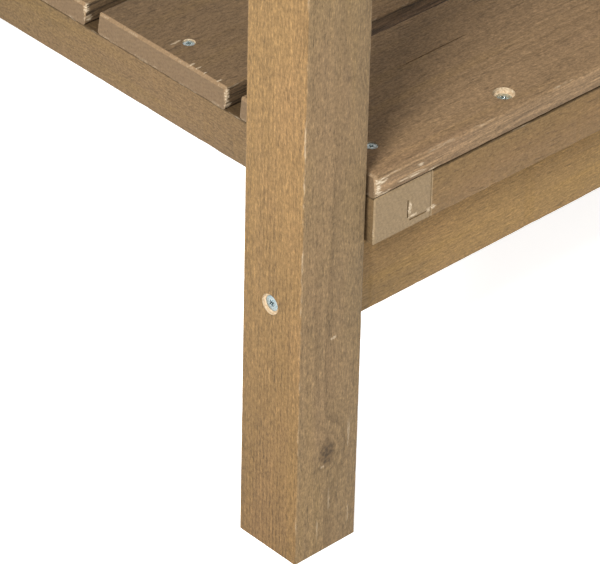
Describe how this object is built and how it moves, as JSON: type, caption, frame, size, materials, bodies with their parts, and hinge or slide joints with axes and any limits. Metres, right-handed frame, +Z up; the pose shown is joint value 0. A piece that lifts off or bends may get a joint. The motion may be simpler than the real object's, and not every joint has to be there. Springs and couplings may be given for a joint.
{
  "type": "potting bench",
  "caption": "Timber potting bench with a slatted worktop, a slatted lower shelf panel resting on stretchers, backboards and a narrow upper shelf, screwed together.",
  "frame": {"origin": "on the floor, under the middle of the whole bench's bounding box", "axes": "+X along the bench to its right-hand end, +Y to its back, +Z up"},
  "size_m": [1.14, 0.471, 1.25],
  "materials": {
    "leg_wood": "sawn softwood, brown pressure treatment, matte",
    "rail_wood": "sawn softwood, brown pressure treatment, matte",
    "batten_wood": "sawn softwood, grey-brown, matte",
    "slat_wood": "planed softwood, darker brown with fine grain, matte",
    "zinc_screw": "bright zinc plated"
  },
  "bodies": {
    "root": {"apron_screw_back_left": "zinc_screw", "apron_screw_back_right": "zinc_screw", "apron_screw_front_left": "zinc_screw", "apron_screw_front_right": "zinc_screw", "back_apron": "rail_wood", "back_left_post": "leg_wood", "back_right_post": "leg_wood", "back_stretcher": "rail_wood", "backboard_1": "slat_wood", "backboard_2": "slat_wood", "front_apron": "rail_wood", "front_left_leg": "leg_wood", "front_right_leg": "leg_wood", "front_stretcher": "rail_wood", "left_side_rail": "rail_wood", "panel_screw_back_left": "zinc_screw", "panel_screw_back_right": "zinc_screw", "panel_screw_front_left": "zinc_screw", "panel_screw_front_right": "zinc_screw", "right_side_rail": "rail_wood", "shelf_back_batten": "batten_wood", "shelf_end_batten_left": "batten_wood", "shelf_end_batten_right": "batten_wood", "shelf_front_batten": "batten_wood", "shelf_middle_batten": "batten_wood", "shelf_slat_1": "slat_wood", "shelf_slat_2": "slat_wood", "shelf_slat_3": "slat_wood", "shelf_slat_4": "slat_wood", "side_rail_screw_back_left": "zinc_screw", "side_rail_screw_back_right": "zinc_screw", "side_rail_screw_front_left": "zinc_screw", "side_rail_screw_front_right": "zinc_screw", "slat_screw_left_1a": "zinc_screw", "slat_screw_left_1b": "zinc_screw", "slat_screw_left_2": "zinc_screw", "slat_screw_left_3": "zinc_screw", "slat_screw_left_4a": "zinc_screw", "slat_screw_left_4b": "zinc_screw", "slat_screw_right_1a": "zinc_screw", "slat_screw_right_1b": "zinc_screw", "slat_screw_right_2": "zinc_screw", "slat_screw_right_3": "zinc_screw", "slat_screw_right_4a": "zinc_screw", "slat_screw_right_4b": "zinc_screw", "stretcher_screw_back_left": "zinc_screw", "stretcher_screw_back_right": "zinc_screw", "stretcher_screw_front_left": "zinc_screw", "stretcher_screw_front_right": "zinc_screw", "top_shelf_bracket_left": "rail_wood", "top_shelf_bracket_right": "rail_wood", "top_shelf_rail": "rail_wood", "top_shelf_slat_1": "slat_wood", "top_shelf_slat_2": "slat_wood", "worktop_bearer": "rail_wood", "worktop_slat_1": "slat_wood", "worktop_slat_2": "slat_wood", "worktop_slat_3": "slat_wood", "worktop_slat_4": "slat_wood"}
  },
  "joints": []
}
